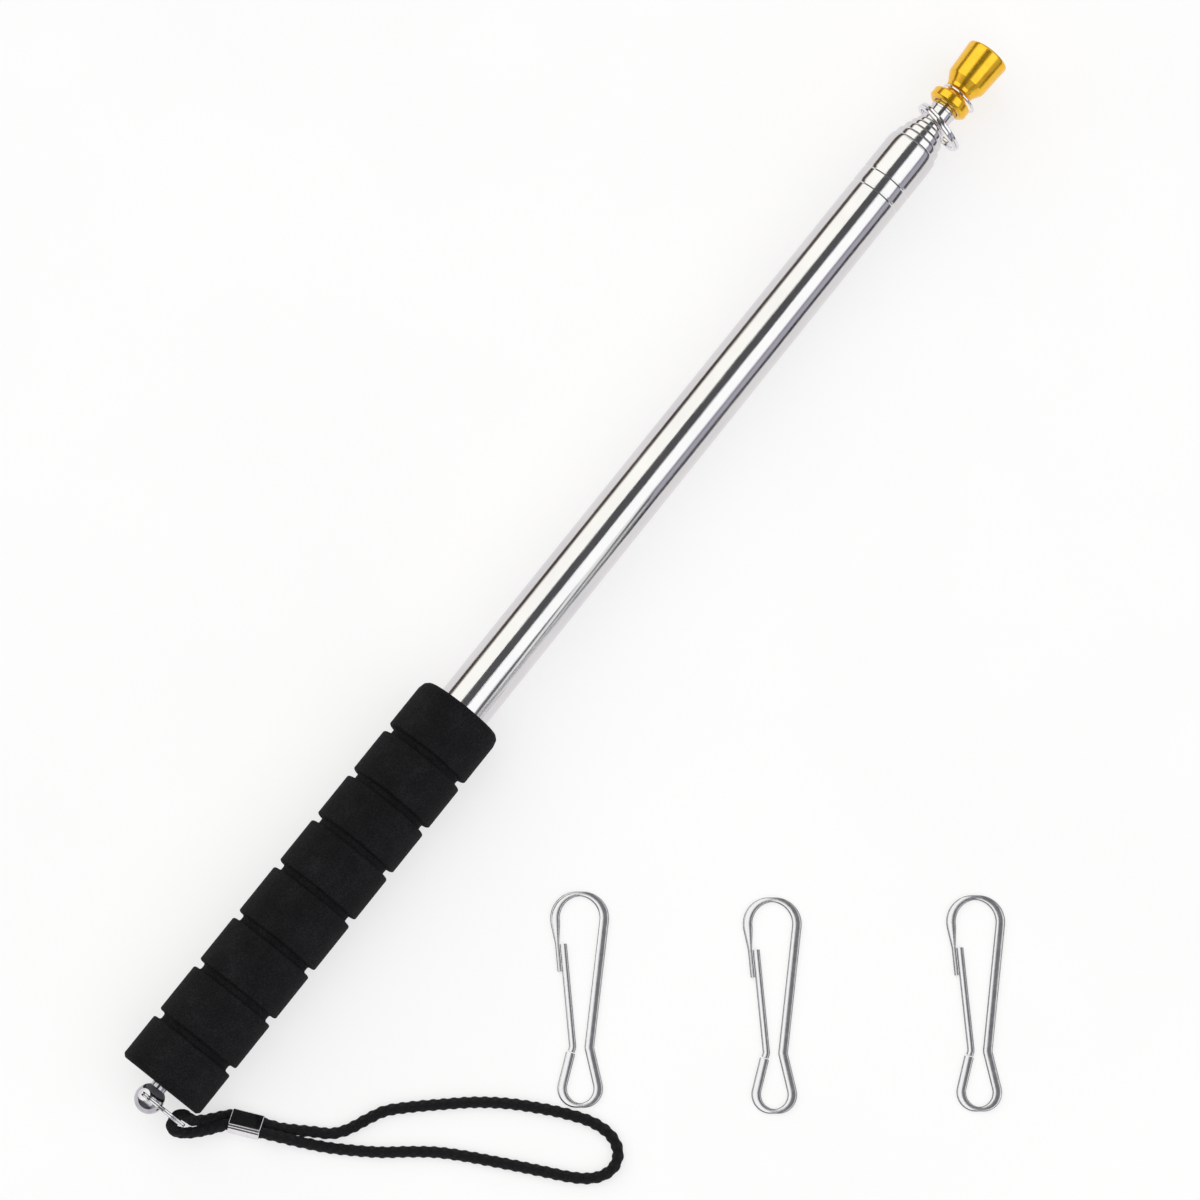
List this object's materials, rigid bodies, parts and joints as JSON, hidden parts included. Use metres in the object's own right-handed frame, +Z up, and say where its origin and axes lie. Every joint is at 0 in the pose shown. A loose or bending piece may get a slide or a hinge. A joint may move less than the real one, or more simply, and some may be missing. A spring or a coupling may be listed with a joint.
{
  "type": "telescopic flag pole",
  "caption": "Hand-held telescopic flag pole in polished steel, closed, with a black foam grip, a gold tip knob, a wrist strap and loose snap hooks.",
  "frame": {"origin": "on the surface that the pole lies on, under the middle of the box around everything but the wrist cord", "axes": "+Y along the pole from its grip to its tip, +Z up from the surface that it lies on, +X towards the side that its strap and hooks lie on"},
  "size_m": [0.2002, 0.39, 0.027],
  "materials": {
    "foam": "matte black closed-cell foam with a fine grain",
    "steel": "polished stainless steel",
    "chrome": "bright nickel plate",
    "gold": "gold-coloured, satin to bright",
    "bronze": "dull spring bronze",
    "plug_grey": "plain moulded grey plastic",
    "cord": "black braided cord"
  },
  "bodies": {
    "grip": {"foam_grip": "foam", "tube_1": "steel", "butt_plug": "plug_grey", "ball_stud": "chrome"},
    "section_2": {"tube_2": "steel", "friction_sleeve_2": "bronze"},
    "section_3": {"tube_3": "steel", "friction_sleeve_3": "bronze"},
    "section_4": {"tube_4": "steel", "friction_sleeve_4": "bronze"},
    "section_5": {"tube_5": "steel", "friction_sleeve_5": "bronze"},
    "section_6": {"tube_6": "steel", "friction_sleeve_6": "bronze", "tip_collar": "gold", "tip_stud": "steel", "tip_knob": "gold"},
    "tip_tie_ring": {"tip_ring": "chrome"},
    "flag_tie_ring": {"flag_ring": "chrome"},
    "wrist_strap": {"strap_ring": "chrome", "cord_ferrule": "chrome", "wrist_cord": "cord"},
    "hook_1": {"snap_hook_1": "chrome"},
    "gate_1": {"hook_gate_1": "chrome"},
    "hook_2": {"snap_hook_2": "chrome"},
    "gate_2": {"hook_gate_2": "chrome"},
    "hook_3": {"snap_hook_3": "chrome"},
    "gate_3": {"hook_gate_3": "chrome"}
  },
  "joints": [
    {"name": "section_2_slide", "type": "slide", "parent": "grip", "child": "section_2", "axis": [0, 1, 0], "range_m": [0, 0.29]},
    {"name": "section_3_slide", "type": "slide", "parent": "section_2", "child": "section_3", "axis": [0, 1, 0], "range_m": [0, 0.29]},
    {"name": "section_4_slide", "type": "slide", "parent": "section_3", "child": "section_4", "axis": [0, 1, 0], "range_m": [0, 0.29]},
    {"name": "section_5_slide", "type": "slide", "parent": "section_4", "child": "section_5", "axis": [0, 1, 0], "range_m": [0, 0.29]},
    {"name": "section_6_slide", "type": "slide", "parent": "section_5", "child": "section_6", "axis": [0, 1, 0], "range_m": [0, 0.29]},
    {"name": "tip_ring_spin", "type": "hinge", "parent": "section_6", "child": "tip_tie_ring", "pos_m": [-0.08656, 0.1794, 0.0135], "axis": [0, 1, 0], "continuous": true},
    {"name": "flag_ring_spin", "type": "hinge", "parent": "section_6", "child": "flag_tie_ring", "pos_m": [-0.08656, 0.1693, 0.0135], "axis": [0, 1, 0], "continuous": true},
    {"name": "wrist_strap_swing", "type": "hinge", "parent": "grip", "child": "wrist_strap", "pos_m": [-0.08806, -0.1907, 0.0135], "axis": [0, 0, 1], "range_deg": [-175, 0]},
    {"name": "hook_1_lift", "type": "slide", "parent": "grip", "child": "hook_1", "axis": [0, 0, 1], "range_m": [0, 0.3]},
    {"name": "gate_1_flex", "type": "hinge", "parent": "hook_1", "child": "gate_1", "pos_m": [-0.00332, -0.1072, 0.00065], "axis": [0, 0, -1], "range_deg": [0, 9], "stiffness_Nm_per_rad": 0.05},
    {"name": "hook_2_lift", "type": "slide", "parent": "grip", "child": "hook_2", "axis": [0, 0, 1], "range_m": [0, 0.3]},
    {"name": "gate_2_flex", "type": "hinge", "parent": "hook_2", "child": "gate_2", "pos_m": [0.04058, -0.0748, 0.00065], "axis": [0, 0, -1], "range_deg": [0, 9], "stiffness_Nm_per_rad": 0.05},
    {"name": "hook_3_lift", "type": "slide", "parent": "grip", "child": "hook_3", "axis": [0, 0, 1], "range_m": [0, 0.3]},
    {"name": "gate_3_flex", "type": "hinge", "parent": "hook_3", "child": "gate_3", "pos_m": [0.08548, -0.0387, 0.00065], "axis": [0, 0, -1], "range_deg": [0, 9], "stiffness_Nm_per_rad": 0.05}
  ]
}
